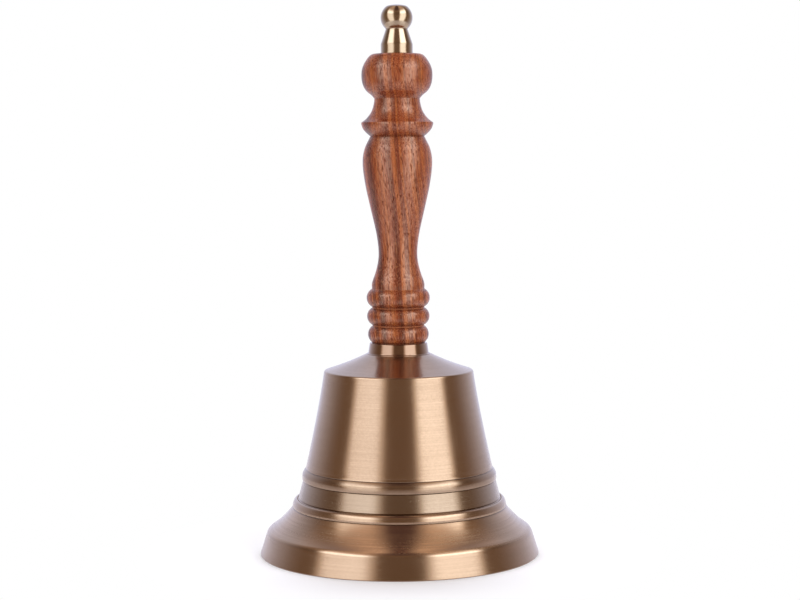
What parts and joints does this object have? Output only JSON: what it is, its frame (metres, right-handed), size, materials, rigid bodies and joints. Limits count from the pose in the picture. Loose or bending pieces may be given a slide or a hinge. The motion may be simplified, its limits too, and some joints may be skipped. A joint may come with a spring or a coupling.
{
  "type": "hand bell",
  "caption": "Hand bell with a flared brass shell, turned wooden handle, brass ferrule and finial on a long through bolt, and a swivelling clapper inside.",
  "frame": {"origin": "centre of the mouth plane, where the bell stands on its lip", "axes": "+Z along the turning axis from the mouth to the finial; the clapper's pin lies along Y, so the clapper swings towards +X and -X"},
  "size_m": [0.1302, 0.1302, 0.2551],
  "materials": {
    "bell_brass": "brushed antique",
    "polished_brass": "polished",
    "handle_wood": "satin varnish",
    "bright_steel": "zinc plated",
    "clapper_iron": "turned",
    "gasket_leather": "plain"
  },
  "bodies": {
    "bell": {"bell_shell": "bell_brass", "ferrule": "polished_brass", "handle": "handle_wood", "finial": "polished_brass", "through_bolt": "bright_steel", "crown_gasket": "gasket_leather", "flat_washer": "bright_steel", "spring_washer": "bright_steel", "crown_nut": "bright_steel", "thrust_washer": "polished_brass"},
    "clapper_hanger": {"clapper_yoke": "bright_steel", "yoke_pin": "bright_steel", "pin_retaining_ring": "bright_steel"},
    "clapper": {"clapper_shank": "bright_steel", "clapper_jam_nut": "bright_steel", "clapper_ball": "clapper_iron"}
  },
  "joints": [
    {"name": "yoke_swivel", "type": "hinge", "parent": "bell", "child": "clapper_hanger", "pos_m": [0, 0, 0.0784], "axis": [0, 0, 1], "continuous": true},
    {"name": "clapper_swing", "type": "hinge", "parent": "clapper_hanger", "child": "clapper", "pos_m": [0, 0, 0.0675], "axis": [0, 1, 0], "range_deg": [-38, 38]}
  ]
}
